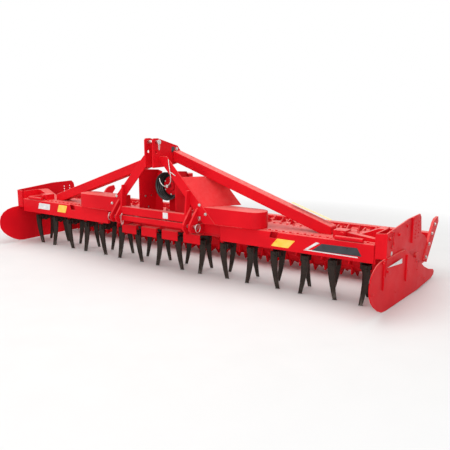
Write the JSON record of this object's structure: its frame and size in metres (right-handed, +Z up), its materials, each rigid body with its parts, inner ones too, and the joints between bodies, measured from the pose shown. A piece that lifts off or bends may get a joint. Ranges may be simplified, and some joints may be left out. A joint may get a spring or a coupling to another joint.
{
  "type": "power harrow",
  "caption": "Mounted power harrow: driven tine rotors under a gear trough, three-point headstock, drive shaft stub, side plates and a tooth packer roller.",
  "frame": {"origin": "middle of the machine's outline on the floor that the tine tips and the roller stand on", "axes": "+X along the gear trough to the right seen from behind the picture's camera, +Y to the rear where the roller is, +Z up"},
  "size_m": [4.7706, 1.8903, 1.333],
  "materials": {
    "red_paint": "gloss red enamel",
    "bright_steel": "zinc-plated steel",
    "tine_steel": "dark forged steel",
    "guard_plastic": "black moulded plastic"
  },
  "bodies": {
    "frame": {"gear_trough": "red_paint", "trough_cover": "red_paint", "front_shields": "red_paint", "stone_guards": "red_paint", "headstock": "red_paint", "hitch_pins": "bright_steel", "gussets": "red_paint", "cross_beams": "red_paint", "gearbox": "red_paint", "pto_guard": "guard_plastic", "end_plates": "red_paint", "pivot_pins": "bright_steel", "end_fittings": "red_paint", "long_brace_right": "red_paint", "long_brace_left": "red_paint", "a_frame_right": "red_paint", "a_frame_left": "red_paint", "hitch_bracket_right": "red_paint", "hitch_bracket_left": "red_paint", "end_bracket_right": "red_paint", "end_bracket_left": "red_paint", "side_plate_right": "red_paint", "side_plate_left": "red_paint"},
    "rotor_01": {"rotor_01": "tine_steel"},
    "rotor_02": {"rotor_02": "tine_steel"},
    "rotor_03": {"rotor_03": "tine_steel"},
    "rotor_04": {"rotor_04": "tine_steel"},
    "rotor_05": {"rotor_05": "tine_steel"},
    "rotor_06": {"rotor_06": "tine_steel"},
    "rotor_07": {"rotor_07": "tine_steel"},
    "rotor_08": {"rotor_08": "tine_steel"},
    "rotor_09": {"rotor_09": "tine_steel"},
    "rotor_10": {"rotor_10": "tine_steel"},
    "rotor_11": {"rotor_11": "tine_steel"},
    "rotor_12": {"rotor_12": "tine_steel"},
    "rotor_13": {"rotor_13": "tine_steel"},
    "rotor_14": {"rotor_14": "tine_steel"},
    "rotor_15": {"rotor_15": "tine_steel"},
    "rotor_16": {"rotor_16": "tine_steel"},
    "drive_shaft": {"pto_shaft": "bright_steel"},
    "roller_frame": {"roller_arm_right": "red_paint", "roller_arm_left": "red_paint", "scraper_beam": "red_paint"},
    "roller": {"packer_roller": "red_paint"}
  },
  "joints": [
    {"name": "rotor_01_spin", "type": "hinge", "parent": "frame", "child": "rotor_01", "pos_m": [-2.1, -0.44, 0.38], "axis": [0, 0, 1], "continuous": true},
    {"name": "rotor_02_spin", "type": "hinge", "parent": "frame", "child": "rotor_02", "pos_m": [-1.82, -0.44, 0.38], "axis": [0, 0, 1], "continuous": true},
    {"name": "rotor_03_spin", "type": "hinge", "parent": "frame", "child": "rotor_03", "pos_m": [-1.54, -0.44, 0.38], "axis": [0, 0, 1], "continuous": true},
    {"name": "rotor_04_spin", "type": "hinge", "parent": "frame", "child": "rotor_04", "pos_m": [-1.26, -0.44, 0.38], "axis": [0, 0, 1], "continuous": true},
    {"name": "rotor_05_spin", "type": "hinge", "parent": "frame", "child": "rotor_05", "pos_m": [-0.98, -0.44, 0.38], "axis": [0, 0, 1], "continuous": true},
    {"name": "rotor_06_spin", "type": "hinge", "parent": "frame", "child": "rotor_06", "pos_m": [-0.7, -0.44, 0.38], "axis": [0, 0, 1], "continuous": true},
    {"name": "rotor_07_spin", "type": "hinge", "parent": "frame", "child": "rotor_07", "pos_m": [-0.42, -0.44, 0.38], "axis": [0, 0, 1], "continuous": true},
    {"name": "rotor_08_spin", "type": "hinge", "parent": "frame", "child": "rotor_08", "pos_m": [-0.14, -0.44, 0.38], "axis": [0, 0, 1], "continuous": true},
    {"name": "rotor_09_spin", "type": "hinge", "parent": "frame", "child": "rotor_09", "pos_m": [0.14, -0.44, 0.38], "axis": [0, 0, 1], "continuous": true},
    {"name": "rotor_10_spin", "type": "hinge", "parent": "frame", "child": "rotor_10", "pos_m": [0.42, -0.44, 0.38], "axis": [0, 0, 1], "continuous": true},
    {"name": "rotor_11_spin", "type": "hinge", "parent": "frame", "child": "rotor_11", "pos_m": [0.7, -0.44, 0.38], "axis": [0, 0, 1], "continuous": true},
    {"name": "rotor_12_spin", "type": "hinge", "parent": "frame", "child": "rotor_12", "pos_m": [0.98, -0.44, 0.38], "axis": [0, 0, 1], "continuous": true},
    {"name": "rotor_13_spin", "type": "hinge", "parent": "frame", "child": "rotor_13", "pos_m": [1.26, -0.44, 0.38], "axis": [0, 0, 1], "continuous": true},
    {"name": "rotor_14_spin", "type": "hinge", "parent": "frame", "child": "rotor_14", "pos_m": [1.54, -0.44, 0.38], "axis": [0, 0, 1], "continuous": true},
    {"name": "rotor_15_spin", "type": "hinge", "parent": "frame", "child": "rotor_15", "pos_m": [1.82, -0.44, 0.38], "axis": [0, 0, 1], "continuous": true},
    {"name": "rotor_16_spin", "type": "hinge", "parent": "frame", "child": "rotor_16", "pos_m": [2.1, -0.44, 0.38], "axis": [0, 0, 1], "continuous": true},
    {"name": "drive_shaft_spin", "type": "hinge", "parent": "frame", "child": "drive_shaft", "pos_m": [0, -0.49, 0.844], "axis": [0, 1, 0], "continuous": true},
    {"name": "roller_frame_tilt", "type": "hinge", "parent": "frame", "child": "roller_frame", "pos_m": [0, -0.54, 0.47], "axis": [-1, 0, 0], "range_deg": [0, 12]},
    {"name": "roller_spin", "type": "hinge", "parent": "roller_frame", "child": "roller", "pos_m": [0, 0.27, 0.257], "axis": [1, 0, 0], "continuous": true}
  ],
  "couplings": [
    {"joint": "rotor_02_spin", "follows": "rotor_01_spin", "ratio": -1},
    {"joint": "rotor_03_spin", "follows": "rotor_01_spin", "ratio": 1},
    {"joint": "rotor_04_spin", "follows": "rotor_01_spin", "ratio": -1},
    {"joint": "rotor_05_spin", "follows": "rotor_01_spin", "ratio": 1},
    {"joint": "rotor_06_spin", "follows": "rotor_01_spin", "ratio": -1},
    {"joint": "rotor_07_spin", "follows": "rotor_01_spin", "ratio": 1},
    {"joint": "rotor_08_spin", "follows": "rotor_01_spin", "ratio": -1},
    {"joint": "rotor_09_spin", "follows": "rotor_01_spin", "ratio": 1},
    {"joint": "rotor_10_spin", "follows": "rotor_01_spin", "ratio": -1},
    {"joint": "rotor_11_spin", "follows": "rotor_01_spin", "ratio": 1},
    {"joint": "rotor_12_spin", "follows": "rotor_01_spin", "ratio": -1},
    {"joint": "rotor_13_spin", "follows": "rotor_01_spin", "ratio": 1},
    {"joint": "rotor_14_spin", "follows": "rotor_01_spin", "ratio": -1},
    {"joint": "rotor_15_spin", "follows": "rotor_01_spin", "ratio": 1},
    {"joint": "rotor_16_spin", "follows": "rotor_01_spin", "ratio": -1},
    {"joint": "drive_shaft_spin", "follows": "rotor_01_spin", "ratio": 3}
  ]
}
